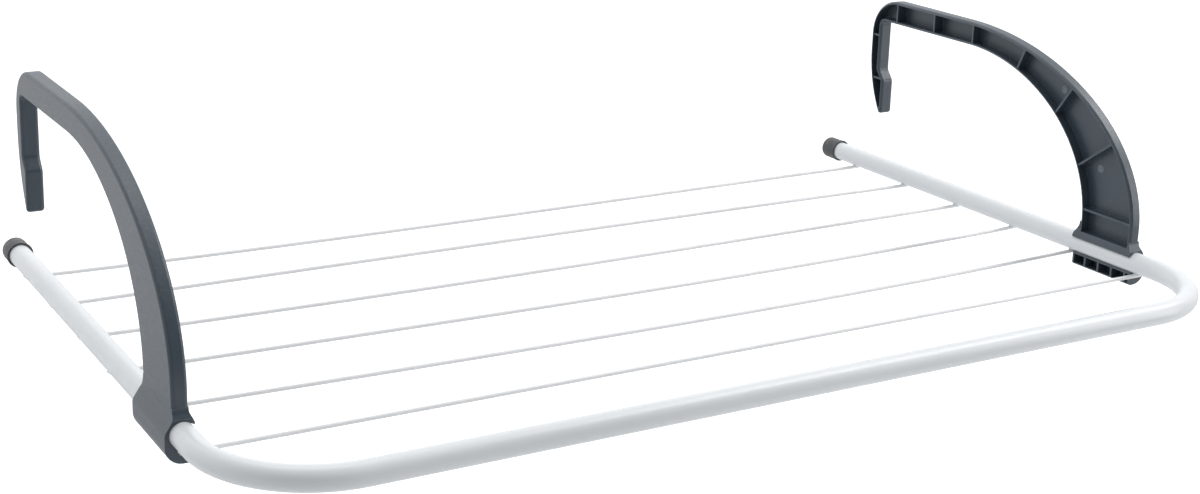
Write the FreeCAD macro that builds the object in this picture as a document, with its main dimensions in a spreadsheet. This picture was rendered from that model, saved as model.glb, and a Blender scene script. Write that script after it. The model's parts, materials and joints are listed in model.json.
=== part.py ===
import FreeCAD, Part
import math
import os
import Sketcher

# Hang-over drying rack: a bent tube frame with six welded wires, two end caps
# and two moulded hook arms that clip on the side tubes and fold in over the wires.
# Row frame: origin midway between the two rail seats, +X to the right, +Y to the
# wall side, +Z up. Each body is drawn in a frame of its own and set by Placement.

# alias, value in millimetres, what it is
DIMENSIONS = [
    ("tube_diameter", 16.0, "outside of the bent tube"),
    ("tube_wall", 1.0, "wall of the bent tube"),
    ("tube_spacing", 762.0, "side tube axis to side tube axis"),
    ("frame_reach", 485.0, "front bar axis to the open tube ends"),
    ("bend_radius", 74.5, "front corners, on the tube axis"),
    ("seat_height", 134.0, "tube axis up to the rail seats"),
    ("seat_reach", 362.0, "front bar axis back to the middle of the rail seats"),
    ("wire_diameter", 3.0, "drying wires"),
    ("wire_pitch", 70.5, "wire to wire"),
    ("wire_first", 91.5, "front bar axis to the nearest wire"),
    ("wire_overhang", 3.0, "wire end past the side tube axis"),
    ("weld_sink", 0.2, "how far a wire is fused into the tube"),
    ("cap_diameter", 18.8, "end cap sleeve"),
    ("cap_rim_diameter", 19.6, "bead round the mouth of the end cap"),
    ("cap_sleeve", 16.5, "tube length inside the cap"),
    ("cap_rim_length", 1.6, "that bead along the tube"),
    ("cap_end", 2.0, "closed end of the cap"),
    ("cap_round", 2.6, "rounding of the closed end"),
    ("cap_gap", 0.02, "cap bore beyond the tube"),
    ("bore_gap", 0.05, "clip bore beyond the tube"),
    ("clip_reach", 126.0, "front bar axis to the middle of the clips"),
    ("clip_length", 61.5, "clip along the tube"),
    ("clip_side", 11.0, "outer side of the clip from the tube axis"),
    ("clip_depth", 18.0, "underside of the clip below the tube axis"),
    ("clip_corner", 11.5, "outer lower corner of the clip"),
    ("lip_reach", 5.0, "end of the lower lip past the tube axis"),
    ("flange_reach", 7.5, "tip of the upper lip past the tube axis"),
    ("flange_top", 9.3, "top of the upper lip above the tube axis"),
    ("flange_tip", 7.0, "tip of the upper lip above the tube axis"),
    ("flange_thick", 1.8, "tip of the upper lip"),
    ("flange_root", 12.5, "where the arm's rim meets the upper lip"),
    ("lip_round", 2.0, "lower corner of the lower lip"),
    ("cell_depth", 10.0, "cells in the lower lip"),
    ("cell_roof", 1.0, "between a cell and the bore"),
    ("cell_bottom", 1.5, "between a cell and the underside"),
    ("cell_rib_first", 17.2, "rearmost rib in the lower lip from the clip centre"),
    ("cell_rib_pitch", 14.2, "rib to rib in the lower lip"),
    ("shoulder_low", -3.0, "where the outer side starts to sweep in"),
    ("shoulder_high", 15.0, "where that sweep meets the flat side"),
    ("shoulder_bend", 4.5, "from each end of that sweep to its bend"),
    ("flare_front", 13.0, "where the foot flares out at the front"),
    ("flare_back", 16.5, "where the foot flares out at the back"),
    ("flare_rise", 2.5, "top of the foot above each flare"),
    ("arm_rim", 5.0, "open side of the arm past the tube axis"),
    ("arm_width", 12.8, "arm from side to side at the leg"),
    ("foot_width", 10.2, "arm from side to side at the foot"),
    ("arm_wall", 2.2, "wall round the arm's pocket"),
    ("arm_floor", 2.4, "closed side of the arm"),
    ("arm_edge", 2.4, "rounding of the closed side's edge"),
    ("rib_width", 1.6, "cross ribs"),
    ("rib_drop", 0.8, "ribs below the rim"),
    ("foot_rib", 29.0, "rib above the foot, above the tube axis"),
    ("straight_rib", 170.0, "first of the upright ribs from the clip centre"),
    ("straight_pitch", 50.0, "upright rib to upright rib"),
    ("leg_rib", 120.0, "rib across the leg above the tube axis"),
    ("pad_rib", 81.0, "rib across the pad above the tube axis"),
    ("foot_front", 27.7, "front of the arm's foot from the clip centre"),
    ("foot_back", 26.3, "back of the arm's foot from the clip centre"),
    ("sweep_outer", 208.7, "outer arch along the tube"),
    ("sweep_outer_low", 24.0, "start of the outer arch above the tube axis"),
    ("sweep_inner", 149.4, "inner arch along the tube"),
    ("sweep_inner_low", 18.6, "start of the inner arch above the tube axis"),
    ("arm_top", 153.8, "top of the arm above the tube axis"),
    ("leg_back", 303.0, "back of the leg from the clip centre"),
    ("leg_front", 290.5, "front of the leg from the clip centre"),
    ("pad_front", 283.5, "front of the leg's pad from the clip centre"),
    ("pad_top", 80.0, "top of the pad above the tube axis"),
    ("pad_slope", 8.5, "height of the slope above the pad"),
    ("leg_bottom", 49.6, "tip of the leg above the tube axis"),
    ("taper_start", 106.0, "where the leg's back starts to curve in"),
    ("taper_radius", 110.0, "curve of the leg's back"),
    ("tip_height", 3.5, "where that curve ends above the tip"),
    ("tip_round", 2.4, "rounding of the tip"),
    ("corner_outer", 32.0, "back top corner of the arm"),
    ("corner_inner", 5.0, "corner between rail seat and leg"),
    ("pocket_low", 10.8, "bottom of the arm's pocket above the tube axis"),
]
WIRE_COUNT = 6
LIP_RIBS = 4
CELL_WALL = 1.6
STRAIGHT_RIBS = 3
# where each rib across the arch meets the outer and the inner sweep, in degrees
ARCH_RIBS = [(68.6, 65.7), (50.3, 43.3), (29.8, 22.0)]

doc = FreeCAD.newDocument("drying_rack")
sheet = doc.addObject("Spreadsheet::Sheet", "Sizes")
for row, (alias, value, note) in enumerate(DIMENSIONS, start=1):
    sheet.set(f"A{row}", alias)
    sheet.set(f"B{row}", str(value))
    sheet.setAlias(f"B{row}", alias)
    sheet.set(f"C{row}", note)
doc.recompute()


def dim(alias):
    return float(sheet.get(alias))


def new_body(label):
    body = doc.addObject("PartDesign::Body", label)
    body.Label = label
    return body


def place(item, x="0", y="0", z="0"):
    for axis, expression in (("x", x), ("y", y), ("z", z)):
        item.setExpression(f"Placement.Base.{axis}", expression)


def new_sketch(body, name, role, offset=None):
    """A sketch on one of the body's own planes, moved along its normal by an expression."""
    plane = [f for f in body.Origin.OriginFeatures if f.Role == role][0]
    sketch = body.newObject("Sketcher::SketchObject", name)
    sketch.AttachmentSupport = [(plane, "")]
    sketch.MapMode = "FlatFace"
    if offset:
        sketch.setExpression("AttachmentOffset.Base.z", offset)
    return sketch


def join(sketch, first):
    """Make the edges from number first on into one closed loop."""
    count = len(sketch.Geometry) - first
    for i in range(count):
        edge = first + i
        following = first + (i + 1) % count
        for end, start in ((2, 1), (2, 2), (1, 1), (1, 2)):
            gap = sketch.getPoint(edge, end).distanceToPoint(sketch.getPoint(following, start))
            if gap < 1e-6:
                sketch.addConstraint(Sketcher.Constraint("Coincident", edge, end, following, start))
                break


def line(sketch, p, q):
    sketch.addGeometry(Part.LineSegment(FreeCAD.Vector(*p, 0), FreeCAD.Vector(*q, 0)))


def arc(sketch, centre, radius, start, end):
    """Counter-clockwise arc, angles in radians."""
    circle = Part.Circle(FreeCAD.Vector(*centre, 0), FreeCAD.Vector(0, 0, 1), radius)
    sketch.addGeometry(Part.ArcOfCircle(circle, start, end))


def quarter_ellipse(sketch, centre, along, up):
    """The upper left quarter of an ellipse."""
    ellipse = Part.Ellipse(FreeCAD.Vector(*centre, 0), along, up)
    sketch.addGeometry(Part.ArcOfEllipse(ellipse, math.pi / 2, math.pi))


def corner_arc(before, corner, after, radius):
    """Where a rounded corner starts and ends, and the centre of its arc."""
    into = FreeCAD.Vector(*before, 0) - FreeCAD.Vector(*corner, 0)
    away = FreeCAD.Vector(*after, 0) - FreeCAD.Vector(*corner, 0)
    into.normalize()
    away.normalize()
    half = into.getAngle(away) / 2
    reach = radius / math.tan(half)
    at = FreeCAD.Vector(*corner, 0)
    middle = into + away
    middle.normalize()
    return at + into * reach, at + away * reach, at + middle * (radius / math.sin(half))


def angle_at(centre, point):
    return math.atan2(point.y - centre.y, point.x - centre.x)


def path(sketch, corners):
    """Straight run through corners (x, y, radius), each corner rounded; ends stay sharp."""
    here = FreeCAD.Vector(corners[0][0], corners[0][1], 0)
    for i in range(1, len(corners) - 1):
        x, y, radius = corners[i]
        if radius == 0:
            point = FreeCAD.Vector(x, y, 0)
            line(sketch, (here.x, here.y), (point.x, point.y))
            here = point
            continue
        start, end, centre = corner_arc(corners[i - 1][:2], (x, y), corners[i + 1][:2], radius)
        line(sketch, (here.x, here.y), (start.x, start.y))
        turn_from = angle_at(centre, start)
        turn_to = angle_at(centre, end)
        if math.sin(turn_to - turn_from) < 0:
            turn_from, turn_to = turn_to, turn_from
        arc(sketch, (centre.x, centre.y), radius, turn_from, turn_to)
        here = end
    line(sketch, (here.x, here.y), corners[-1][:2])


def polygon(sketch, points):
    first = len(sketch.Geometry)
    for i, point in enumerate(points):
        line(sketch, point, points[(i + 1) % len(points)])
    join(sketch, first)


def pad(body, sketch, name, length, midplane=False):
    feature = body.newObject("PartDesign::Pad", name)
    feature.Profile = sketch
    feature.setExpression("Length", length)
    feature.Midplane = midplane
    doc.recompute()
    return feature


def pocket(body, sketch, name, length=None, midplane=False):
    """A pocket of that depth, or right through both ways when no depth is given."""
    feature = body.newObject("PartDesign::Pocket", name)
    feature.Profile = sketch
    if length:
        feature.setExpression("Length", length)
    else:
        feature.Type = "ThroughAll"
    feature.Midplane = midplane
    doc.recompute()
    return feature


# ---------------------------------------------------------------- bent tube frame
def build_frame_tube():
    body = new_body("frame_tube")
    place(body, y="-Sizes.seat_reach", z="-Sizes.seat_height")
    side = dim("tube_spacing") / 2
    bend = dim("bend_radius")
    back = dim("frame_reach")
    spine = new_sketch(body, "tube_line", "XY_Plane")
    line(spine, (-side, back), (-side, bend))
    arc(spine, (-side + bend, bend), bend, math.pi, 1.5 * math.pi)
    line(spine, (-side + bend, 0), (side - bend, 0))
    arc(spine, (side - bend, bend), bend, 1.5 * math.pi, 2 * math.pi)
    line(spine, (side, bend), (side, back))
    for a, b in (((0, 2), (1, 1)), ((1, 2), (2, 1)), ((2, 2), (3, 1)), ((3, 2), (4, 1))):
        spine.addConstraint(Sketcher.Constraint("Tangent", *a, *b))
    spine.addConstraint(Sketcher.Constraint("Vertical", 0))
    spine.addConstraint(Sketcher.Constraint("Horizontal", 2))
    spine.addConstraint(Sketcher.Constraint("Equal", 1, 3))
    spine.addConstraint(Sketcher.Constraint("Symmetric", 0, 1, 4, 2, -2))
    spine.addConstraint(Sketcher.Constraint("PointOnObject", 2, 1, -1))
    radius = spine.addConstraint(Sketcher.Constraint("Radius", 1, bend))
    spine.setExpression(f"Constraints[{radius}]", "Sizes.bend_radius")
    width = spine.addConstraint(Sketcher.Constraint("DistanceX", 0, 1, 4, 2, 2 * side))
    spine.setExpression(f"Constraints[{width}]", "Sizes.tube_spacing")
    reach = spine.addConstraint(Sketcher.Constraint("DistanceY", -1, 1, 4, 2, back))
    spine.setExpression(f"Constraints[{reach}]", "Sizes.frame_reach")

    ring = new_sketch(body, "tube_section", "XZ_Plane", "-Sizes.frame_reach")
    sizes = ("Sizes.tube_diameter / 2", "Sizes.tube_diameter / 2 - Sizes.tube_wall")
    for i, expression in enumerate(sizes):
        circle = Part.Circle(FreeCAD.Vector(-side, 0, 0), FreeCAD.Vector(0, 0, 1), 8 - i)
        ring.addGeometry(circle)
        ring.addConstraint(Sketcher.Constraint("PointOnObject", i, 3, -1))
        size = ring.addConstraint(Sketcher.Constraint("Radius", i, 8 - i))
        ring.setExpression(f"Constraints[{size}]", expression)
        across = ring.addConstraint(Sketcher.Constraint("DistanceX", i, 3, -1, 1, side))
        ring.setExpression(f"Constraints[{across}]", "Sizes.tube_spacing / 2")
    doc.recompute()
    tube = body.newObject("PartDesign::AdditivePipe", "tube")
    tube.Profile = ring
    tube.Spine = (spine, [f"Edge{i}" for i in range(1, 6)])
    doc.recompute()
    return body


# ---------------------------------------------------------------- wires
def build_wire(number):
    wire = doc.addObject("Part::Cylinder", f"drying_wire_{number}")
    wire.Label = f"drying_wire_{number}"
    wire.setExpression("Radius", "Sizes.wire_diameter / 2")
    wire.setExpression("Height", "Sizes.tube_spacing + 2 * Sizes.wire_overhang")
    wire.Placement.Rotation = FreeCAD.Rotation(FreeCAD.Vector(0, 1, 0), 90)
    under = "(Sizes.tube_diameter + Sizes.wire_diameter) / 2 - Sizes.weld_sink"
    place(
        wire,
        "-Sizes.tube_spacing / 2 - Sizes.wire_overhang",
        f"Sizes.wire_first + {number - 1} * Sizes.wire_pitch - Sizes.seat_reach",
        f"-Sizes.seat_height - ({under})",
    )
    return wire


# ---------------------------------------------------------------- end caps
def build_end_cap(label, side):
    body = new_body(label)
    place(
        body,
        f"{side} * Sizes.tube_spacing / 2",
        "Sizes.frame_reach - Sizes.seat_reach",
        "-Sizes.seat_height",
    )
    inner = dim("tube_diameter") / 2 + dim("cap_gap")
    outer = dim("cap_diameter") / 2
    rim = dim("cap_rim_diameter") / 2
    mouth = -dim("cap_sleeve")
    end = dim("cap_end")
    bead = dim("cap_rim_length")
    profile = new_sketch(body, f"{label}_profile", "XY_Plane")
    path(profile, [
        (0, 0, 0),
        (inner, 0, 0),
        (inner, mouth, 0),
        (rim, mouth, 0.5),
        (rim, mouth + bead, 0.4),
        (outer, mouth + bead + 0.5, 0),
        (outer, end, dim("cap_round")),
        (0, end, 0),
        (0, 0, 0),
    ])
    join(profile, 0)
    doc.recompute()
    turned = body.newObject("PartDesign::Revolution", f"{label}_turned")
    turned.Profile = profile
    turned.ReferenceAxis = (profile, ["V_Axis"])
    turned.Angle = 360
    doc.recompute()
    return body


# ---------------------------------------------------------------- hook arm
# Arm frame: origin on the tube axis in the middle of the clip, X inboard, Y along
# the tube to the wall side, Z up.
def band_outline(sketch, inset, low):
    """The arm from the side, or its pocket when inset is the wall thickness."""
    front = -dim("foot_front") + inset
    back = dim("foot_back") - inset
    seat = dim("seat_height") + inset
    top = dim("arm_top") - inset
    leg_back = dim("leg_back") - inset
    leg_front = dim("leg_front") + inset
    pad_front = dim("pad_front") + inset
    pad_top = dim("pad_top")
    bottom = dim("leg_bottom") + 2.5 * inset
    inner_low = dim("sweep_inner_low")
    outer_low = dim("sweep_outer_low")
    inner_end = dim("foot_back") + dim("sweep_inner")
    outer_end = -dim("foot_front") + dim("sweep_outer")
    curve = dim("taper_radius") - inset
    curve_centre = (leg_back - curve, dim("taper_start"))
    turn = math.asin((curve_centre[1] - bottom - dim("tip_height") + inset) / curve)
    curve_end = (leg_back - curve * (1 - math.cos(turn)), curve_centre[1] - curve * math.sin(turn))
    tip_back = curve_end[0] - (curve_end[1] - bottom) * math.tan(turn)
    tip_round = dim("tip_round") if inset == 0 else 0.5

    first = len(sketch.Geometry)
    line(sketch, (back, low), (back, inner_low))
    quarter_ellipse(sketch, (inner_end, inner_low), inner_end - back, seat - inner_low)
    path(sketch, [
        (inner_end, seat, 0),
        (leg_front, seat, dim("corner_inner") + inset),
        (leg_front, pad_top + dim("pad_slope"), 5),
        (pad_front, pad_top, 5),
        (pad_front, bottom, tip_round),
        (tip_back, bottom, tip_round),
        curve_end,
    ])
    arc(sketch, curve_centre, curve, -turn, 0)
    path(sketch, [
        (leg_back, curve_centre[1], 0),
        (leg_back, top, dim("corner_outer") - inset),
        (outer_end, top, 0),
    ])
    quarter_ellipse(sketch, (outer_end, outer_low), outer_end - front, top - outer_low)
    path(sketch, [(front, outer_low, 0), (front, low, 0), (back, low, 0)])
    join(sketch, first)


def foot_outline(sketch):
    """The foot from the side: the band's width above, the clip's full length below."""
    half = dim("clip_length") / 2
    front = -dim("foot_front")
    back = dim("foot_back")
    rise = dim("flare_rise")
    low = dim("tube_diameter") / 2 + dim("bore_gap")
    edge = dim("flange_top") - 0.4
    path(sketch, [
        (front, dim("flare_front") + rise, 0),
        (front, dim("flare_front"), 6),
        (-half, edge, 0),
        (-half, low, 0),
        (half, low, 0),
        (half, edge, 0),
        (back, dim("flare_back"), 8),
        (back, dim("flare_back") + rise, 0),
        (front, dim("flare_front") + rise, 0),
    ])
    join(sketch, 0)


def lip_corner():
    """Where the upper lip's sloping top passes the height of the tube's crown."""
    rim = dim("arm_rim")
    tip = dim("flange_reach")
    crown = dim("tube_diameter") / 2 + dim("bore_gap")
    slope = (tip - rim) / (dim("flange_root") - dim("flange_tip"))
    return tip - (crown - dim("flange_tip")) * slope, crown


def clip_section(sketch):
    """The clip from its end: a C that is open on the inboard side."""
    bore = dim("tube_diameter") / 2 + dim("bore_gap")
    side = -dim("clip_side")
    under = -dim("clip_depth")
    lip = dim("lip_reach")
    tip = dim("flange_reach")
    top = dim("flange_top")
    start_angle = math.radians(65)
    end_angle = math.radians(300)
    arc(sketch, (0, 0), bore, start_angle, end_angle)
    start = (bore * math.cos(start_angle), bore * math.sin(start_angle))
    end = (bore * math.cos(end_angle), bore * math.sin(end_angle))
    path(sketch, [
        (*end, 0),
        (lip, end[1] - 1.2, 0.5),
        (lip, under, dim("lip_round")),
        (side, under, dim("clip_corner")),
        (side, top, 0),
        (dim("arm_rim"), top, 0),
        (*lip_corner(), 0),
        (tip, dim("flange_tip"), 0),
        (tip, dim("flange_tip") - dim("flange_thick"), 0),
        start,
    ])
    join(sketch, 0)


def sweep_regions(sketch):
    """What is cut from the foot: outside the shoulder's S and above the upper lip."""
    outer = -dim("clip_side")
    flat = dim("arm_rim") - dim("foot_width")
    low = dim("shoulder_low")
    high = dim("shoulder_high")
    bend = dim("shoulder_bend")
    beyond = high + 6
    path(sketch, [
        (outer, low, 0),
        (outer, low + bend, 5),
        (flat, high - bend, 6),
        (flat, beyond, 0),
        (outer - 1, beyond, 0),
        (outer - 1, low, 0),
        (outer, low, 0),
    ])
    join(sketch, 0)
    first = len(sketch.Geometry)
    rim = dim("arm_rim")
    tip = dim("flange_reach")
    path(sketch, [
        (tip, dim("flange_tip"), 0),
        (rim, dim("flange_root"), 4),
        (rim, beyond, 0),
        (tip + 1, beyond, 0),
        (tip + 1, dim("flange_tip"), 0),
        (tip, dim("flange_tip"), 0),
    ])
    join(sketch, first)


def rib(sketch, start, end):
    """A straight rib between two points on the pocket's edge, run a little into each wall."""
    along = FreeCAD.Vector(end[0] - start[0], end[1] - start[1], 0).normalize()
    across = FreeCAD.Vector(-along.y, along.x, 0) * (dim("rib_width") / 2)
    a = FreeCAD.Vector(*start, 0) - along
    b = FreeCAD.Vector(*end, 0) + along
    polygon(sketch, [(p.x, p.y) for p in (a + across, b + across, b - across, a - across)])


def rib_outlines(sketch):
    wall = dim("arm_wall")
    seat = dim("seat_height") + wall
    top = dim("arm_top") - wall
    back = dim("leg_back") - wall
    outer = (-dim("foot_front") + dim("sweep_outer"), dim("sweep_outer_low"))
    inner = (dim("foot_back") + dim("sweep_inner"), dim("sweep_inner_low"))
    outer_size = (dim("sweep_outer") - wall, top - outer[1])
    inner_size = (dim("sweep_inner") + wall, seat - inner[1])
    level = dim("foot_rib")
    rib(sketch, (-dim("foot_front") + wall, level), (dim("foot_back") - wall, level))
    for outer_turn, inner_turn in ARCH_RIBS:
        ends = []
        for centre, size, turn in ((outer, outer_size, outer_turn), (inner, inner_size, inner_turn)):
            angle = math.radians(turn)
            ends.append((centre[0] - size[0] * math.cos(angle), centre[1] + size[1] * math.sin(angle)))
        rib(sketch, *ends)
    for i in range(STRAIGHT_RIBS):
        along = dim("straight_rib") + i * dim("straight_pitch")
        rib(sketch, (along, seat), (along, top))
    level = dim("leg_rib")
    rib(sketch, (dim("leg_front") + wall, level), (back, level))
    level = dim("pad_rib")
    rib(sketch, (dim("pad_front") + wall + 2, level), (back - 2, level))


def face_towards(shape, direction):
    """Name of the largest flat face that looks nearly that way."""
    best = None
    for i, face in enumerate(shape.Faces, start=1):
        flat = isinstance(face.Surface, Part.Plane)
        if flat and face.normalAt(0, 0).dot(direction) > 0.99:
            if best is None or face.Area > shape.getElement(best).Area:
                best = f"Face{i}"
    return best


def arm_band(body):
    """The arm's solid shape: its closed side slants in towards the foot and has round edges."""
    low = dim("tube_diameter") / 2 + dim("bore_gap")
    band = new_sketch(body, "arm_side", "YZ_Plane", "Sizes.arm_rim - Sizes.arm_width")
    band_outline(band, 0, low)
    pad(body, band, "arm_band", "Sizes.arm_width")
    slant = new_sketch(body, "arm_above", "XY_Plane")
    front = -dim("clip_length") / 2
    wide = dim("arm_rim") - dim("arm_width")
    narrow = dim("arm_rim") - dim("foot_width")
    leg = dim("leg_back")
    polygon(slant, [(narrow, front), (wide, leg), (wide - 2, leg), (wide - 2, front)])
    arm = pocket(body, slant, "arm_slant", midplane=True)
    closed_side = face_towards(arm.Shape, FreeCAD.Vector(-1, 0, 0))
    around = arm.Shape.getElement(closed_side).Edges
    rim = dim("arm_rim")
    tip = dim("leg_bottom")
    edges = []
    for i, edge in enumerate(arm.Shape.Edges, start=1):
        box = edge.BoundBox
        on_side = box.ZMax > low + 1 and any(edge.isSame(other) for other in around)
        under_tip = box.XMin > rim - 0.01 and abs(box.ZMin - tip) < 0.01 and abs(box.ZMax - tip) < 0.01
        if on_side or under_tip:
            edges.append(f"Edge{i}")
    rounded = body.newObject("PartDesign::Fillet", "arm_edge_round")
    rounded.Base = (arm, edges)
    rounded.setExpression("Radius", "Sizes.arm_edge")
    doc.recompute()
    return arm, closed_side


def arm_foot(body):
    """The flared foot and the clip below it."""
    foot = new_sketch(body, "foot_side", "YZ_Plane", "-Sizes.clip_side")
    foot_outline(foot)
    pad(body, foot, "foot", "Sizes.clip_side + Sizes.flange_reach")
    section = new_sketch(body, "clip_end", "XZ_Plane")
    clip_section(section)
    pad(body, section, "clip", "Sizes.clip_length", midplane=True)
    sweep = new_sketch(body, "shoulder_and_lip", "XZ_Plane")
    sweep_regions(sweep)
    pocket(body, sweep, "shoulder_sweep", midplane=True)


def arm_hollow(body, closed_side):
    """The pocket down to an even floor beside the closed side, and its ribs."""
    inside = new_sketch(body, "pocket_side", "YZ_Plane", "Sizes.flange_reach")
    band_outline(inside, dim("arm_wall"), dim("pocket_low"))
    hollow = pocket(body, inside, "arm_pocket")
    hollow.Type = "UpToFace"
    hollow.UpToFace = closed_side
    hollow.setExpression("Offset", "Sizes.arm_floor")
    doc.recompute()
    ribs = new_sketch(body, "rib_lines", "YZ_Plane", "Sizes.arm_rim - Sizes.rib_drop")
    rib_outlines(ribs)
    raised = pad(body, ribs, "ribs", "Sizes.arm_width")
    raised.Reversed = True
    raised.Type = "UpToFace"
    raised.UpToFace = closed_side
    raised.setExpression("Offset", "Sizes.arm_floor / 2")
    doc.recompute()


def lip_cells(body):
    """A row of cells let into the lower lip from its inboard side."""
    cells = new_sketch(body, "lip_cells_side", "YZ_Plane", "Sizes.lip_reach")
    half = dim("clip_length") / 2
    ribs = [dim("cell_rib_first") - i * dim("cell_rib_pitch") for i in range(LIP_RIBS)]
    starts = [rib + CELL_WALL / 2 for rib in ribs] + [-half + CELL_WALL]
    ends = [half - CELL_WALL] + [rib - CELL_WALL / 2 for rib in ribs]
    bottom = -dim("clip_depth") + dim("cell_bottom")
    roof = -dim("tube_diameter") / 2 - dim("bore_gap") - dim("cell_roof")
    for near, far in zip(starts, ends):
        polygon(cells, [(near, bottom), (far, bottom), (far, roof), (near, roof)])
    pocket(body, cells, "lip_cells", "Sizes.cell_depth")


def build_hook_arm_left():
    body = new_body("hook_arm_left")
    place(
        body,
        "-Sizes.tube_spacing / 2",
        "Sizes.clip_reach - Sizes.seat_reach",
        "-Sizes.seat_height",
    )
    closed_side = arm_band(body)
    arm_foot(body)
    arm_hollow(body, closed_side)
    lip_cells(body)
    return body


def build_hook_arm_right(left):
    right = doc.addObject("Part::Mirroring", "hook_arm_right")
    right.Label = "hook_arm_right"
    right.Source = left
    right.Normal = (1, 0, 0)
    right.Base = (0, 0, 0)
    doc.recompute()
    return right


parts = [build_frame_tube()]
for number in range(1, WIRE_COUNT + 1):
    parts.append(build_wire(number))
parts.append(build_end_cap("end_cap_left", -1))
parts.append(build_end_cap("end_cap_right", 1))
left_arm = build_hook_arm_left()
parts.append(left_arm)
parts.append(build_hook_arm_right(left_arm))
doc.recompute()

for item in doc.Objects:
    faults = [word for word in item.State if word in ("Invalid", "Error")]
    if faults:
        raise RuntimeError(f"{item.Name}: {faults}")

os.makedirs("parts", exist_ok=True)
for part in parts:
    shape = part.Shape
    if shape.isNull() or not shape.isValid():
        raise RuntimeError(f"{part.Label}: bad shape")
    shape.exportStep(f"parts/{part.Label}.step")
    box = shape.BoundBox
    print(
        f"{part.Label}: {len(shape.Solids)} solid, {shape.Volume:.0f} mm3,"
        f" X {box.XMin:.1f} {box.XMax:.1f}, Y {box.YMin:.1f} {box.YMax:.1f},"
        f" Z {box.ZMin:.1f} {box.ZMax:.1f}"
    )
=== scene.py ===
import json
import math

import bmesh
import bpy
from mathutils import Matrix, Vector


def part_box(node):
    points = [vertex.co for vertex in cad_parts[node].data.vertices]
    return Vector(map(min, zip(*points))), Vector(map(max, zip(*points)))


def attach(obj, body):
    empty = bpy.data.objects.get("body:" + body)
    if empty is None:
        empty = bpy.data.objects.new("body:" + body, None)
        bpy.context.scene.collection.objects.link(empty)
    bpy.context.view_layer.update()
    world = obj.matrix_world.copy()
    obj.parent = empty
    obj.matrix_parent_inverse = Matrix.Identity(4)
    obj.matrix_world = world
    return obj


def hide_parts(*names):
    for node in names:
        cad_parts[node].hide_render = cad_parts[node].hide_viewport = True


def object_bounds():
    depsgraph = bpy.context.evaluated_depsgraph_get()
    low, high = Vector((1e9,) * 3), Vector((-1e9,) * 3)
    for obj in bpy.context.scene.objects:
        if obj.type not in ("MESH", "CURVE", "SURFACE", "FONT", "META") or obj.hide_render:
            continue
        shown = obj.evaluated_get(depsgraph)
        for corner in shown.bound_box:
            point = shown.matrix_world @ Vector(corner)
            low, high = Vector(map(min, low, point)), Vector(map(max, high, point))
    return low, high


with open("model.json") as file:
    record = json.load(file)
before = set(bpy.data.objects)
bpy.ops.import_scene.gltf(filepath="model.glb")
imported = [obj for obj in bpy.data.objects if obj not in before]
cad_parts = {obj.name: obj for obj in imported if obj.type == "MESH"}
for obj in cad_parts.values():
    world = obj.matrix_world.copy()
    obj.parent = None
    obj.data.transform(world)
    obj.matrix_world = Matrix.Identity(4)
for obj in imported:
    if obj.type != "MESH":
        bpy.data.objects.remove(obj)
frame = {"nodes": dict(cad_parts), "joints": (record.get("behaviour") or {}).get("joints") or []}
cad_low, cad_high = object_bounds()

# ---------------------------------------------------------------- sizes, in metres
# the bent tube: its bends are measured to its axis
BEND_RADIUS = 0.0745
TUBE_WALL = 0.001
TUBE_SIDES = 72

WIRE_COUNT = 6
WIRE_SIDES = 28
WIRE_CHAMFER = 0.0004
# how far each wire hangs below its welds at mid span, and how much more to the right; wire 1 first
WIRE_BOW = ((0.0004, -0.3), (0.0042, 0.35), (0.0036, 0.4), (0.0022, -0.5), (-0.0009, 0.0), (0.0019, -0.8))
# half length, width and height of a weld bead, and how far its middle is under the tube
WELD_REACH = Vector((0.0044, 0.0025, 0.0019))
WELD_DROP = 0.0003

# end caps, from the mouth to the closed end; points nearer than the seam are one
CAP_SEAM = 0.000001
CAP_PLAY = 0.00002
CAP_MOUTH_CHAMFER = 0.0004
CAP_BEAD_LENGTH = 0.0016
CAP_BEAD_ROUND = 0.0005
CAP_BEAD_SLOPE = 0.0006
CAP_SLEEVE_RADIUS = 0.0094
# fine grooves round the sleeve: the first one's middle is this far past the bead's slope
CAP_GROOVE_START = 0.0012
CAP_GROOVE_PITCH = 0.0013
CAP_GROOVE_COUNT = 5
CAP_GROOVE_DEPTH = 0.00018
CAP_GROOVE_HALF_MOUTH = 0.00022
CAP_GROOVE_HALF_FLOOR = 0.00008
CAP_CORNER = 0.0026
# the gate is a shallow dimple in the middle of the closed end
CAP_GATE_RADIUS = 0.0016
CAP_GATE_FLOOR_RADIUS = 0.00064
CAP_GATE_SLOPE = 0.0006
CAP_GATE_DEPTH = 0.0004

# hook arms: vertices this near are one, faces this flat are one, and edges this sharp are eased
ARM_SEAM = 0.000002
ARM_FLAT_ANGLE = 0.6
ARM_SHARP_ANGLE = 38.0
ARM_EDGE = 0.0005
# the pocket's floor slopes evenly from the clip's front end to the leg: place along the tube from
# the clip's middle, and height inboard of the tube axis
FLOOR_FRONT = (-0.03075, -0.0028)
FLOOR_BACK = (0.303, -0.0054)
# ejector marks on that floor: along the tube from the clip's middle, above the tube axis
EJECTOR_PLACES = ((0.0175, 0.0633), (0.0650, 0.1172))
EJECTOR_RADIUS = 0.0033
EJECTOR_SIDES = 40
# a mark's outline from its dished middle to its skirt: distance in from the rim, height off the floor
EJECTOR_OUTLINE = ((0.0029, 0.00004), (0.0007, 0.00006), (0.0004, 0.00022), (0.0001, 0.00022),
                   (0.0, 0.0001), (0.0, -0.0003))

# the studio: floor below the rack, and how much whiter the surroundings look than they light
FLOOR_DROP = 0.9
FLOOR_REACH = 40.0
WHITE_GLOW = 0.6
# the surroundings' bright side is behind the rack
BRIGHT_SIDE = (-0.25, 0.95, 0.15)
DIM_STRENGTH = 0.20
BRIGHT_STRENGTH = 1.3
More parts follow.
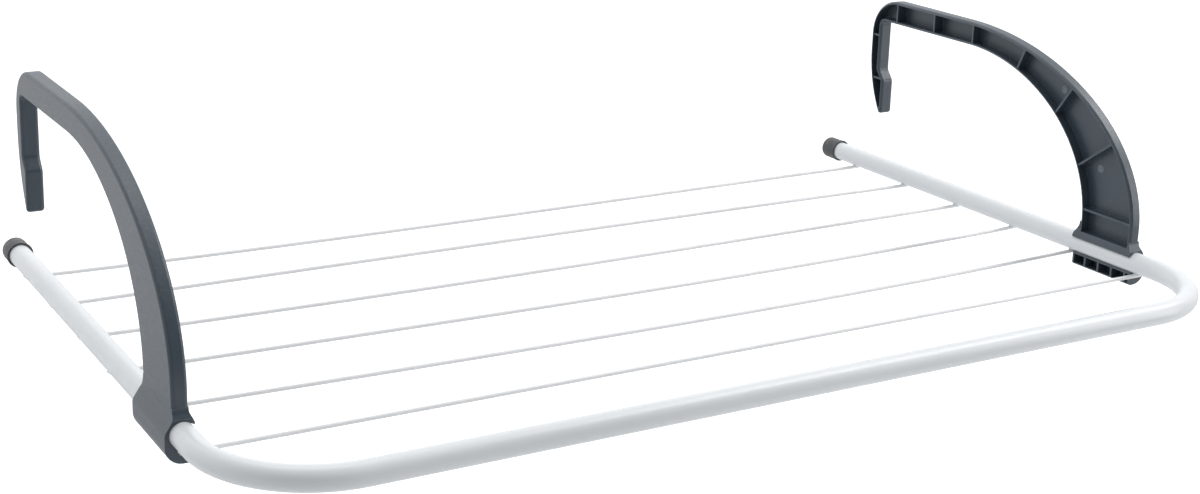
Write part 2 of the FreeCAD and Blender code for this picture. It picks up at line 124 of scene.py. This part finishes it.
# soft boxes: name, place, what it points at, width and height, watts
SOFT_BOXES = (
    ("right soft box", (2.2, -0.55, 2.3), (0.2, 0, -0.1), (1.7, 1.7), 48),
    ("low soft box", (1.75, -1.5, 0.4), (0.4, -0.1, -0.1), (0.6, 1.6), 15),
    ("overhead soft box", (0.1, 0.8, 3.0), (0, 0.1, -0.1), (2.2, 1.8), 19),
    ("back soft box", (-1.2, 1.8, -0.5), (-0.1, -0.1, -0.05), (1.6, 0.8), 1.7))
# camera: lens and sensor in millimetres, turns in radians
CAMERA_PLACE = (-0.70109, -1.26364, 0.30976)
CAMERA_YAW = 0.53262
CAMERA_PITCH = 0.25541
CAMERA_ROLL = 0.03023
CAMERA_LENS = 56.9985
CAMERA_SENSOR = 36.0
CAMERA_SHIFT = (0.00882, -0.07972)

tube_low, tube_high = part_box("frame_tube")
TUBE_RADIUS = (tube_high.z - tube_low.z) / 2
AXIS_Z = (tube_high.z + tube_low.z) / 2
SIDE_X = tube_high.x - TUBE_RADIUS
FRONT_Y = tube_low.y + TUBE_RADIUS
BACK_Y = tube_high.y

ALONG_X = Vector((1, 0, 0))
ALONG_Y = Vector((0, 1, 0))
ALONG_Z = Vector((0, 0, 1))


# ---------------------------------------------------------------- shader groups
def node_group(name, inputs, outputs):
    """An empty shader group. Inputs are (name, socket type, default); outputs are (name, type)."""
    group = bpy.data.node_groups.new(name, "ShaderNodeTree")
    for label, kind, value in inputs:
        socket = group.interface.new_socket(name=label, in_out="INPUT", socket_type=kind)
        socket.default_value = value
    for label, kind in outputs:
        group.interface.new_socket(name=label, in_out="OUTPUT", socket_type=kind)
    return group, group.nodes.new("NodeGroupInput"), group.nodes.new("NodeGroupOutput")


def feed(tree, node, key, source):
    """Links a socket to a node's input, or sets a plain value on it."""
    if isinstance(source, bpy.types.NodeSocket):
        tree.links.new(source, node.inputs[key])
    else:
        node.inputs[key].default_value = source


def add(tree, kind, inputs=(), **settings):
    """A node with settings on its properties, and links or values on its inputs."""
    node = tree.nodes.new(kind)
    for key, value in settings.items():
        setattr(node, key, value)
    for key, source in dict(inputs).items():
        feed(tree, node, key, source)
    return node


def remap(tree, value, low, high, to_low=0.0, to_high=1.0):
    """A value moved smoothly from one pair of limits to another, and held inside them."""
    inputs = {0: value, 1: low, 2: high, 3: to_low, 4: to_high}
    return add(tree, "ShaderNodeMapRange", inputs, interpolation_type="SMOOTHSTEP").outputs[0]


def scalar(tree, operation, first, second, third=0.0):
    """The result of one sum on plain numbers."""
    return add(tree, "ShaderNodeMath", {0: first, 1: second, 2: third}, operation=operation).outputs[0]


def blend_colour(tree, mask, first, second):
    """The first colour where the mask is 0, the second where it is 1."""
    return add(tree, "ShaderNodeMix", {0: mask, 6: first, 7: second}, data_type="RGBA").outputs[2]


def noise(tree, scale, detail, roughness, distortion=0.0):
    """Cloudy noise fixed to the piece, from 0 to 1."""
    place = add(tree, "ShaderNodeTexCoord").outputs["Object"]
    inputs = {"Vector": place, "Scale": scale, "Detail": detail, "Roughness": roughness,
              "Distortion": distortion}
    return add(tree, "ShaderNodeTexNoise", inputs).outputs[0]


def make_grain_group():
    """Fine surface grain: orange peel on a coat, spark-eroded texture on a moulding."""
    group, given, out = node_group(
        "surface grain",
        [("Fine Scale", "NodeSocketFloat", 900.0), ("Broad Scale", "NodeSocketFloat", 120.0),
         ("Broad Share", "NodeSocketFloat", 0.4)],
        [("Height", "NodeSocketFloat"), ("Mask", "NodeSocketFloat")])
    fine = noise(group, given.outputs["Fine Scale"], detail=3.0, roughness=0.6)
    broad = noise(group, given.outputs["Broad Scale"], detail=2.0, roughness=0.5)
    shares = {0: given.outputs["Broad Share"], 2: fine, 3: broad}
    mix = add(group, "ShaderNodeMix", shares, data_type="FLOAT")
    group.links.new(mix.outputs[0], out.inputs["Height"])
    group.links.new(remap(group, broad, low=0.35, high=0.65), out.inputs["Mask"])
    return group


def make_tone_group():
    """Slow drift of tone over a piece."""
    group, given, out = node_group(
        "tone drift",
        [("Colour", "NodeSocketColor", (0.5, 0.5, 0.5, 1)), ("Tint", "NodeSocketColor", (0.4, 0.4, 0.4, 1)),
         ("Scale", "NodeSocketFloat", 9.0), ("Amount", "NodeSocketFloat", 0.3)],
        [("Colour", "NodeSocketColor")])
    cloud = noise(group, given.outputs["Scale"], detail=4.0, roughness=0.55, distortion=0.3)
    share = scalar(group, "MULTIPLY", remap(group, cloud, low=0.3, high=0.7), given.outputs["Amount"])
    colour = blend_colour(group, share, given.outputs["Colour"], given.outputs["Tint"])
    group.links.new(colour, out.inputs["Colour"])
    return group


def make_wear_and_highlight_group():
    """Painted highlight and wear on outer edges: where the surface normal turns quickly, broken up by
    noise.
    """
    group, given, out = node_group(
        "rubbed edge and painted highlight",
        [("Radius", "NodeSocketFloat", 0.0008), ("Break Up", "NodeSocketFloat", 160.0)],
        [("Mask", "NodeSocketFloat")])
    # the cosine between the eased and the plain normal, on a flat face and on a full edge
    flat = 0.995
    full = 0.86
    # the least share of painted highlight and wear on an edge, and what the noise adds to it
    least = 0.4
    extra = 0.6
    eased = add(group, "ShaderNodeBevel", {"Radius": given.outputs["Radius"]}, samples=4)
    plain = add(group, "ShaderNodeNewGeometry").outputs["Normal"]
    facing = add(group, "ShaderNodeVectorMath", {0: eased.outputs[0], 1: plain}, operation="DOT_PRODUCT")
    edge = remap(group, facing.outputs["Value"], flat, full)
    cloud = noise(group, given.outputs["Break Up"], detail=3.0, roughness=0.6)
    patchy = remap(group, cloud, low=0.38, high=0.66)
    uneven = scalar(group, "MULTIPLY", edge, scalar(group, "MULTIPLY_ADD", patchy, extra, least))
    group.links.new(uneven, out.inputs["Mask"])
    return group


def make_dust_group():
    """Dust that settles on what faces up, and a little in the corners."""
    group, given, out = node_group(
        "settled dust",
        [("Amount", "NodeSocketFloat", 0.2), ("Corner Reach", "NodeSocketFloat", 0.006)],
        [("Mask", "NodeSocketFloat")])
    corner_share = 0.6
    speck_scale = 340.0
    normal = add(group, "ShaderNodeNewGeometry").outputs["Normal"]
    facing = add(group, "ShaderNodeSeparateXYZ", {0: normal}).outputs["Z"]
    upward = remap(group, facing, low=0.2, high=1.0)
    reach = {"Distance": given.outputs["Corner Reach"]}
    corner = add(group, "ShaderNodeAmbientOcclusion", reach, samples=4).outputs["AO"]
    inside = remap(group, corner, low=0.9, high=0.35, to_high=corner_share)
    specks = noise(group, speck_scale, detail=5.0, roughness=0.7)
    scatter = remap(group, specks, low=0.42, high=0.72)
    settled = scalar(group, "MULTIPLY", scalar(group, "MAXIMUM", upward, inside), scatter)
    group.links.new(scalar(group, "MULTIPLY", settled, given.outputs["Amount"]), out.inputs["Mask"])
    return group


GRAIN = make_grain_group()
TONE = make_tone_group()
WEAR_AND_HIGHLIGHT = make_wear_and_highlight_group()
DUST = make_dust_group()


# ---------------------------------------------------------------- materials
DUST_COLOUR = (0.52, 0.51, 0.49, 1)
# how much rougher full dust makes a surface, how much smoother the full edge mask of wear and painted
# highlight makes it
DUST_ROUGHNESS = 0.5
RUBBED_SMOOTHNESS = 0.12
COAT_ROUGHNESS = 0.22


def use(tree, group, **values):
    """The group in a material, with this material's own values."""
    node = tree.nodes.new("ShaderNodeGroup")
    node.node_tree = group
    for key, value in values.items():
        node.inputs[key.replace("_", " ")].default_value = value
    return node


def finish_material(name, colour, tint, wear_and_highlight_colour, roughness, grain, peel, dust, coat=0.0, drift=0.35,
                    specular=0.5, wear_and_highlight_share=0.5, edge_radius=0.0008):
    """A coated or moulded surface.

    colour drifts towards tint, and edges are lightened to the third colour, a painted highlight with some
    wear. roughness is (least, most).
    grain is (fine scale, broad scale, broad share), and peel is its depth in metres.
    """
    material = bpy.data.materials.new(name)
    material.use_nodes = True
    tree = material.node_tree
    shader = tree.nodes["Principled BSDF"]
    shader.inputs["Specular IOR Level"].default_value = specular
    shader.inputs["Coat Weight"].default_value = coat
    shader.inputs["Coat Roughness"].default_value = COAT_ROUGHNESS
    tone = use(tree, TONE, Colour=(*colour, 1), Tint=(*tint, 1), Amount=drift)
    texture = use(tree, GRAIN, Fine_Scale=grain[0], Broad_Scale=grain[1], Broad_Share=grain[2])
    edge = use(tree, WEAR_AND_HIGHLIGHT, Radius=edge_radius)
    settled = use(tree, DUST, Amount=dust).outputs["Mask"]
    # painted highlight: edges are lightened towards the third colour, partly as wear
    worn_and_highlit = scalar(tree, "MULTIPLY", edge.outputs["Mask"], wear_and_highlight_share)
    base = blend_colour(tree, worn_and_highlit, tone.outputs["Colour"], (*wear_and_highlight_colour, 1))
    dusty = blend_colour(tree, settled, base, DUST_COLOUR)
    tree.links.new(dusty, shader.inputs["Base Color"])
    rough = remap(tree, texture.outputs["Mask"], 0.0, 1.0, *roughness)
    rough = scalar(tree, "ADD", rough, scalar(tree, "MULTIPLY", settled, DUST_ROUGHNESS))
    rough = scalar(tree, "SUBTRACT", rough, scalar(tree, "MULTIPLY", worn_and_highlit, RUBBED_SMOOTHNESS))
    tree.links.new(rough, shader.inputs["Roughness"])
    height = {"Height": texture.outputs["Height"], "Strength": 1.0, "Distance": peel}
    bump = add(tree, "ShaderNodeBump", height)
    tree.links.new(bump.outputs["Normal"], shader.inputs["Normal"])
    return material


powder_coat = finish_material(
    "white powder coat",
    colour=(0.648, 0.669, 0.686), tint=(0.605, 0.626, 0.646), wear_and_highlight_colour=(0.82, 0.83, 0.84),
    roughness=(0.30, 0.42), grain=(520.0, 150.0, 0.65), peel=0.00006, dust=0.05, coat=0.25)
# the tube's white coat with its colour painted lighter, standing in for the light on the thin wires
lit_wire_coat = finish_material(
    "white coat painted lighter on wires",
    colour=(0.755, 0.755, 0.76), tint=(0.69, 0.69, 0.695), wear_and_highlight_colour=(0.86, 0.86, 0.86),
    roughness=(0.32, 0.46), grain=(900.0, 260.0, 0.6), peel=0.00005, dust=0.05, coat=0.2)
weld_coat = finish_material(
    "white coat over weld",
    colour=(0.70, 0.72, 0.74), tint=(0.60, 0.61, 0.63), wear_and_highlight_colour=(0.78, 0.79, 0.80),
    roughness=(0.36, 0.55), grain=(700.0, 420.0, 0.7), peel=0.00018, dust=0.10, coat=0.15)
# the slate's edges carry a strong painted highlight in a much lighter colour
slate_moulding = finish_material(
    "slate moulding",
    colour=(0.034, 0.050, 0.067), tint=(0.030, 0.045, 0.061), wear_and_highlight_colour=(0.15, 0.18, 0.21),
    roughness=(0.36, 0.41), grain=(1500.0, 700.0, 0.25), peel=0.000025, dust=0.05, drift=0.6,
    specular=0.62, wear_and_highlight_share=0.9, edge_radius=0.001)
# the slate plastic painted much lighter at the ejector marks: a painted sheen
ejector_sheen_moulding = finish_material(
    "slate moulding with painted ejector sheen",
    colour=(0.125, 0.148, 0.168), tint=(0.105, 0.126, 0.145), wear_and_highlight_colour=(0.24, 0.27, 0.30),
    roughness=(0.30, 0.42), grain=(900.0, 240.0, 0.5), peel=0.00003, dust=0.04,
    wear_and_highlight_share=0.6, edge_radius=0.0004)
cap_moulding = finish_material(
    "dark cap moulding",
    colour=(0.055, 0.058, 0.061), tint=(0.046, 0.048, 0.051), wear_and_highlight_colour=(0.20, 0.20, 0.21),
    roughness=(0.42, 0.55), grain=(1200.0, 300.0, 0.4), peel=0.00005, dust=0.08, wear_and_highlight_share=0.6)


# ---------------------------------------------------------------- mesh helpers
def new_piece(name, mesh_data, material, body, replaced=()):
    """A visible piece of one material that rides on a body and may stand for CAD nodes."""
    piece = bpy.data.objects.new(name, mesh_data)
    bpy.context.scene.collection.objects.link(piece)
    mesh_data.materials.append(material)
    for polygon in mesh_data.polygons:
        polygon.material_index = 0
    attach(piece, body)
    if replaced:
        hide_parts(*replaced)
    return piece


def from_bmesh(name, bm, sharp_angle=35.0):
    """Mesh data with smooth shading except across edges sharper than the angle, in degrees."""
    bmesh.ops.recalc_face_normals(bm, faces=bm.faces)
    limit = math.radians(sharp_angle)
    for face in bm.faces:
        face.smooth = True
    for edge in bm.edges:
        edge.smooth = len(edge.link_faces) == 2 and edge.calc_face_angle() < limit
    data = bpy.data.meshes.new(name)
    bm.to_mesh(data)
    bm.free()
    return data


def sweep(bm, centres, sections):
    """Rings of points swept along a line. A section is (right, up, radius, number of sides)."""
    rings = []
    for centre, (right, up, radius, count) in zip(centres, sections):
        ring = []
        for i in range(count):
            turn = 2 * math.pi * i / count
            ring.append(bm.verts.new(centre + radius * (math.cos(turn) * right + math.sin(turn) * up)))
        rings.append(ring)
    for first, second in zip(rings, rings[1:]):
        bridge(bm, first, second)
    return rings


def bridge(bm, first, second):
    """A band of faces between two rings."""
    count = len(first)
    for i in range(count):
        j = (i + 1) % count
        bm.faces.new((first[i], first[j], second[j], second[i]))


def close_ends(bm, rings):
    """A flat face on the first ring and on the last."""
    bm.faces.new(rings[0])
    bm.faces.new(rings[-1])


# ---------------------------------------------------------------- bent tube
def tube_line():
    """Points and directions along the tube's axis, from the open left end to the right one."""
    side_steps = 24
    bend_steps = 36
    half_front_steps = 14
    line = []
    straight = BACK_Y - (FRONT_Y + BEND_RADIUS)
    for i in range(side_steps):
        line.append((Vector((-SIDE_X, BACK_Y - straight * i / side_steps, AXIS_Z)), -ALONG_Y))
    centre = Vector((-SIDE_X + BEND_RADIUS, FRONT_Y + BEND_RADIUS, AXIS_Z))
    for i in range(bend_steps):
        turn = math.pi + (math.pi / 2) * i / bend_steps
        out = Vector((math.cos(turn), math.sin(turn), 0))
        line.append((centre + BEND_RADIUS * out, Vector((-out.y, out.x, 0))))
    half = SIDE_X - BEND_RADIUS
    for i in range(half_front_steps):
        line.append((Vector((-half + half * i / half_front_steps, FRONT_Y, AXIS_Z)), ALONG_X))
    mirrored = [(Vector((-p.x, p.y, p.z)), Vector((d.x, -d.y, 0))) for p, d in reversed(line)]
    return line + [(Vector((0, FRONT_Y, AXIS_Z)), ALONG_X)] + mirrored


def build_tube():
    """The outer and inner skin of the tube, joined at its open ends."""
    bm = bmesh.new()
    line = tube_line()
    centres = [point for point, _ in line]
    skins = []
    for radius in (TUBE_RADIUS, TUBE_RADIUS - TUBE_WALL):
        sections = [(direction.cross(ALONG_Z), ALONG_Z, radius, TUBE_SIDES) for _, direction in line]
        skins.append(sweep(bm, centres, sections))
    for end in (0, -1):
        bridge(bm, skins[0][end], skins[1][end])
    new_piece("bent_tube", from_bmesh("bent_tube", bm), powder_coat, "frame", ["frame_tube"])


build_tube()


# ---------------------------------------------------------------- wires and their welds
def build_wire(number):
    """One wire with chamfered ends, a slight bow between its welds, and the two welds."""
    low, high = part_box(f"drying_wire_{number}")
    radius = (high.z - low.z) / 2
    y = (low.y + high.y) / 2
    z = (low.z + high.z) / 2
    half = high.x
    sag, skew = WIRE_BOW[number - 1]
    steps = 96
    stations = [(-half, radius - WIRE_CHAMFER), (-half + WIRE_CHAMFER, radius)]
    stations += [(-half + 2 * half * i / steps, radius) for i in range(1, steps)]
    stations += [(half - WIRE_CHAMFER, radius), (half, radius - WIRE_CHAMFER)]
    bm = bmesh.new()
    centres = []
    sections = []
    for x, width in stations:
        share = max(-1.0, min(1.0, x / SIDE_X))
        drop = sag * (1 - share**2) * (1 + skew * share)
        slope = sag * (2 * share - skew * (1 - 3 * share**2)) / SIDE_X
        forward = Vector((1, 0, slope)).normalized()
        up = forward.cross(-ALONG_Y).normalized()
        centres.append(Vector((x, y, z - drop)))
        sections.append((ALONG_Y, up, width, WIRE_SIDES))
    close_ends(bm, sweep(bm, centres, sections))
    name = f"wire_{number}"
    new_piece(name, from_bmesh(name, bm), lit_wire_coat, "frame", [f"drying_wire_{number}"])
    for side in (-1, 1):
        build_weld(number, side, y)


def build_weld(number, side, y):
    """A flat uneven bead that runs up both sides of the wire on to the tube."""
    # shares by which the bead swells and thins, and radians of ripple from its middle to its rim
    long_ripple = 0.05
    cross_ripple = 0.04
    long_turn = 9
    cross_turn = 7
    # shift of the long ripple from one wire's welds to the next, so that no two are alike
    shift = 1.7
    # how much narrower the bead is at its ends
    narrowing = 0.35
    bm = bmesh.new()
    bmesh.ops.create_icosphere(bm, subdivisions=4, radius=1.0)
    middle = Vector((side * SIDE_X, y, AXIS_Z - TUBE_RADIUS - WELD_DROP))
    for vert in bm.verts:
        d = vert.co.copy()
        ripple = 1 + long_ripple * math.sin(long_turn * d.x + shift * number + side)
        ripple += cross_ripple * math.sin(cross_turn * d.y + number)
        waist = 1 - narrowing * d.x * d.x
        reach = Vector((WELD_REACH.x * ripple, WELD_REACH.y * waist * ripple, WELD_REACH.z))
        vert.co = middle + reach * d
    name = f"weld_{number}_{'left' if side < 0 else 'right'}"
    new_piece(name, from_bmesh(name, bm), weld_coat, "frame")


for number in range(1, WIRE_COUNT + 1):
    build_wire(number)


# ---------------------------------------------------------------- end caps
def rounded(radius, y, across, along, start, end, steps):
    """Points (radius, y) on an oval from one angle to another, in degrees."""
    points = []
    for i in range(steps + 1):
        turn = math.radians(start + (end - start) * i / steps)
        points.append((radius + across * math.cos(turn), y + along * math.sin(turn)))
    return points


def cap_profile(rim, mouth, end, bore):
    """Half outline of a cap as (radius, y), from the bore at its mouth round to its back centre."""
    half_bead = CAP_BEAD_LENGTH / 2
    bead_end = mouth + CAP_BEAD_LENGTH + CAP_BEAD_SLOPE
    groove_floor = CAP_SLEEVE_RADIUS - CAP_GROOVE_DEPTH
    points = [(bore, mouth + CAP_MOUTH_CHAMFER), (bore + CAP_MOUTH_CHAMFER, mouth)]
    points += rounded(rim - CAP_BEAD_ROUND, mouth + half_bead, CAP_BEAD_ROUND, half_bead, -90, 90, 6)
    points.append((CAP_SLEEVE_RADIUS, bead_end))
    for i in range(CAP_GROOVE_COUNT):
        at = bead_end + CAP_GROOVE_START + i * CAP_GROOVE_PITCH
        points += [(CAP_SLEEVE_RADIUS, at - CAP_GROOVE_HALF_MOUTH),
                   (groove_floor, at - CAP_GROOVE_HALF_FLOOR),
                   (groove_floor, at + CAP_GROOVE_HALF_FLOOR),
                   (CAP_SLEEVE_RADIUS, at + CAP_GROOVE_HALF_MOUTH)]
    points += rounded(CAP_SLEEVE_RADIUS - CAP_CORNER, end - CAP_CORNER, CAP_CORNER, CAP_CORNER, 0, 90, 8)
    points += [(CAP_GATE_RADIUS + CAP_GATE_SLOPE, end), (CAP_GATE_RADIUS, end - CAP_GATE_DEPTH),
               (CAP_GATE_FLOOR_RADIUS, end - CAP_GATE_DEPTH)]
    return points


def build_cap(side):
    """A cap turned from its outline, with a bore that stops at the end of the tube."""
    node = f"end_cap_{side}"
    low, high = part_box(node)
    middle = (low + high) / 2
    rim = (high.x - low.x) / 2
    bore = TUBE_RADIUS + CAP_PLAY
    outside = cap_profile(rim, low.y, high.y, bore)
    inside = [(bore, low.y + CAP_MOUTH_CHAMFER), (bore, BACK_Y + CAP_PLAY)]
    bm = bmesh.new()
    for profile in (outside, inside):
        centres = [Vector((middle.x, y, middle.z)) for _, y in profile]
        sections = [(ALONG_X, ALONG_Z, radius, TUBE_SIDES) for radius, _ in profile]
        rings = sweep(bm, centres, sections)
        bm.faces.new(rings[-1])
    bmesh.ops.remove_doubles(bm, verts=bm.verts, dist=CAP_SEAM)
    name = f"cap_{side}"
    new_piece(name, from_bmesh(name, bm, sharp_angle=50.0), cap_moulding, "frame", [node])


for side in ("left", "right"):
    build_cap(side)


# ---------------------------------------------------------------- hook arms
def build_arm(side):
    """The arm's solid with every moulded edge eased."""
    node = f"hook_arm_{side}"
    name = f"arm_{side}"
    bm = bmesh.new()
    bm.from_mesh(frame["nodes"][node].data)
    bmesh.ops.remove_doubles(bm, verts=bm.verts, dist=ARM_SEAM)
    bmesh.ops.dissolve_limit(bm, angle_limit=math.radians(ARM_FLAT_ANGLE), verts=bm.verts, edges=bm.edges)
    limit = math.radians(ARM_SHARP_ANGLE)
    sharp = [edge for edge in bm.edges if len(edge.link_faces) == 2 and edge.calc_face_angle() > limit]
    bmesh.ops.bevel(bm, geom=sharp, offset=ARM_EDGE, offset_type="OFFSET", segments=2, profile=0.5,
                    affect="EDGES", clamp_overlap=True, loop_slide=True)
    data = from_bmesh(name, bm, sharp_angle=40.0)
    arm = new_piece(name, data, slate_moulding, f"{side}_arm", [node])
    even = arm.modifiers.new("even normals", "WEIGHTED_NORMAL")
    even.keep_sharp = True


for side in ("left", "right"):
    build_arm(side)


def floor_height(along):
    """Height of the pocket's floor inboard of the tube axis, at a place along the tube."""
    share = (along - FLOOR_FRONT[0]) / (FLOOR_BACK[0] - FLOOR_FRONT[0])
    return FLOOR_FRONT[1] + (FLOOR_BACK[1] - FLOOR_FRONT[1]) * share


def build_ejector_marks(side, hinge):
    """Round marks on the pocket's floor: a faint ring round a dished middle, coloured lighter than the
    floor as a painted sheen.
    """
    inboard = 1 if side == "left" else -1
    for number, (along, above) in enumerate(EJECTOR_PLACES, start=1):
        centre = hinge + Vector((inboard * floor_height(along), along, above))
        centres = []
        sections = []
        for inset, height in EJECTOR_OUTLINE:
            centres.append(centre + Vector((inboard * height, 0, 0)))
            sections.append((ALONG_Y, ALONG_Z, EJECTOR_RADIUS - inset, EJECTOR_SIDES))
        bm = bmesh.new()
        close_ends(bm, sweep(bm, centres, sections))
        name = f"ejector_mark_{side}_{number}"
        new_piece(name, from_bmesh(name, bm), ejector_sheen_moulding, f"{side}_arm")


for joint in frame["joints"]:
    build_ejector_marks(joint["name"].split("_")[0], Vector(joint["pos_m"]))


# ---------------------------------------------------------------- floor, light, camera
def white_to_camera(tree, surface):
    """The surface as it lights the object, with more white where the camera looks straight at it."""
    glow = add(tree, "ShaderNodeEmission", {"Color": (1, 1, 1, 1), "Strength": WHITE_GLOW})
    straight = add(tree, "ShaderNodeLightPath").outputs["Is Camera Ray"]
    both = add(tree, "ShaderNodeAddShader", {0: surface, 1: glow.outputs[0]})
    return add(tree, "ShaderNodeMixShader", {0: straight, 1: surface, 2: both.outputs[0]}).outputs[0]


def build_floor():
    """A wide pale floor below the rack."""
    bm = bmesh.new()
    bmesh.ops.create_grid(bm, x_segments=8, y_segments=8, size=FLOOR_REACH)
    for vert in bm.verts:
        vert.co.z = cad_low.z - FLOOR_DROP
    data = bpy.data.meshes.new("floor")
    bm.to_mesh(data)
    bm.free()
    floor = bpy.data.objects.new("floor", data)
    bpy.context.scene.collection.objects.link(floor)
    material = bpy.data.materials.new("pale floor")
    material.use_nodes = True
    tree = material.node_tree
    shader = tree.nodes["Principled BSDF"]
    shader.inputs["Roughness"].default_value = 0.9
    tone = use(tree, TONE, Colour=(0.78, 0.785, 0.79, 1), Tint=(0.76, 0.765, 0.77, 1), Scale=0.6)
    tree.links.new(tone.outputs["Colour"], shader.inputs["Base Color"])
    seen = white_to_camera(tree, shader.outputs["BSDF"])
    tree.links.new(seen, tree.nodes["Material Output"].inputs["Surface"])
    data.materials.append(material)


def build_surroundings():
    """A pale studio, brighter on one side than on the other."""
    world = bpy.data.worlds.new("studio")
    bpy.context.scene.world = world
    world.use_nodes = True
    tree = world.node_tree
    background = tree.nodes["Background"]
    background.inputs["Color"].default_value = (0.97, 0.985, 1.0, 1)
    direction = add(tree, "ShaderNodeTexCoord").outputs["Generated"]
    facing = add(tree, "ShaderNodeVectorMath", {0: direction, 1: BRIGHT_SIDE}, operation="DOT_PRODUCT")
    strength = remap(tree, facing.outputs["Value"], -1.0, 1.0, DIM_STRENGTH, BRIGHT_STRENGTH)
    tree.links.new(strength, background.inputs["Strength"])
    seen = white_to_camera(tree, background.outputs[0])
    tree.links.new(seen, tree.nodes["World Output"].inputs["Surface"])


def soft_box(name, place, target, size, power):
    """A rectangular lamp that lights the object but isn't seen itself."""
    light = bpy.data.lights.new(name, "AREA")
    light.shape = "RECTANGLE"
    light.size, light.size_y = size
    light.energy = power
    lamp = bpy.data.objects.new(name, light)
    lamp.location = place
    lamp.rotation_mode = "QUATERNION"
    lamp.rotation_quaternion = (Vector(target) - Vector(place)).to_track_quat("-Z", "Y")
    lamp.visible_camera = False
    bpy.context.scene.collection.objects.link(lamp)


def build_camera():
    """The camera, turned by its yaw about the vertical, then its pitch and its roll."""
    camera = bpy.data.cameras.new("camera")
    camera.sensor_width = CAMERA_SENSOR
    camera.lens = CAMERA_LENS
    camera.shift_x, camera.shift_y = CAMERA_SHIFT
    camera.clip_start = 0.01
    camera.clip_end = 200.0
    heading = Vector((math.sin(CAMERA_YAW), math.cos(CAMERA_YAW), 0))
    forward = math.cos(CAMERA_PITCH) * heading - math.sin(CAMERA_PITCH) * ALONG_Z
    level = Vector((math.cos(CAMERA_YAW), -math.sin(CAMERA_YAW), 0))
    above = level.cross(forward)
    right = math.cos(CAMERA_ROLL) * level + math.sin(CAMERA_ROLL) * above
    up = -math.sin(CAMERA_ROLL) * level + math.cos(CAMERA_ROLL) * above
    turn = Matrix((right, up, -forward)).transposed().to_4x4()
    holder = bpy.data.objects.new("camera", camera)
    holder.matrix_world = Matrix.Translation(CAMERA_PLACE) @ turn
    bpy.context.scene.collection.objects.link(holder)
    bpy.context.scene.camera = holder


build_floor()
build_surroundings()
for settings in SOFT_BOXES:
    soft_box(*settings)
build_camera()
bpy.context.scene.view_settings.view_transform = "Standard"
